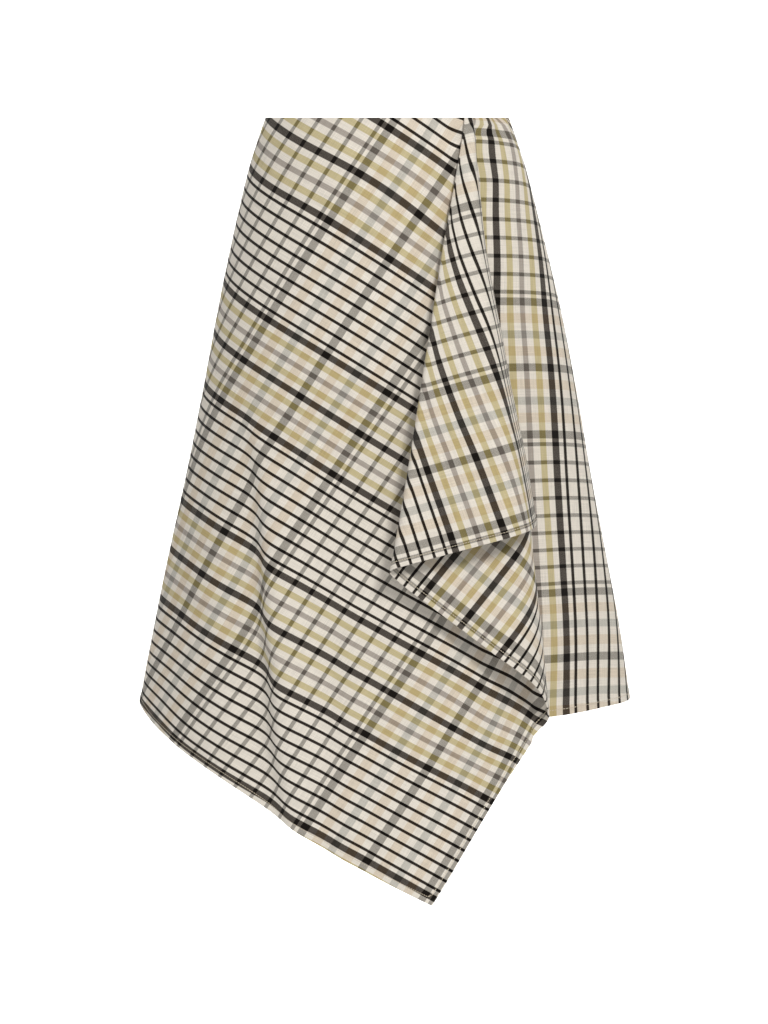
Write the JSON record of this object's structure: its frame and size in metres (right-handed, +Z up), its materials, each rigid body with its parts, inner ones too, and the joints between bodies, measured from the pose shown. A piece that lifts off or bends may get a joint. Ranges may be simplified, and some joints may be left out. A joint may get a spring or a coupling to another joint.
{
  "type": "draped wrap midi skirt",
  "caption": "Asymmetric draped wrap midi skirt in checked cotton, filled out, with a square slanting front corner and a folded cascade at one side.",
  "frame": {"origin": "centre of the waist opening, at the level of the waist edge, where the wearer's waist holds the skirt", "axes": "+Z up, from the hem to the waist; the front faces -Y; +X is to the right of a viewer who looks at the front"},
  "size_m": [0.5589, 0.4255, 0.8478],
  "materials": {
    "front_drape": "plain woven cotton check, matte",
    "under_front": "plain woven cotton check, matte",
    "back": "plain woven cotton check, matte"
  },
  "bodies": {
    "root": {"front_drape": "front_drape", "under_front": "under_front", "back": "back"}
  },
  "joints": []
}
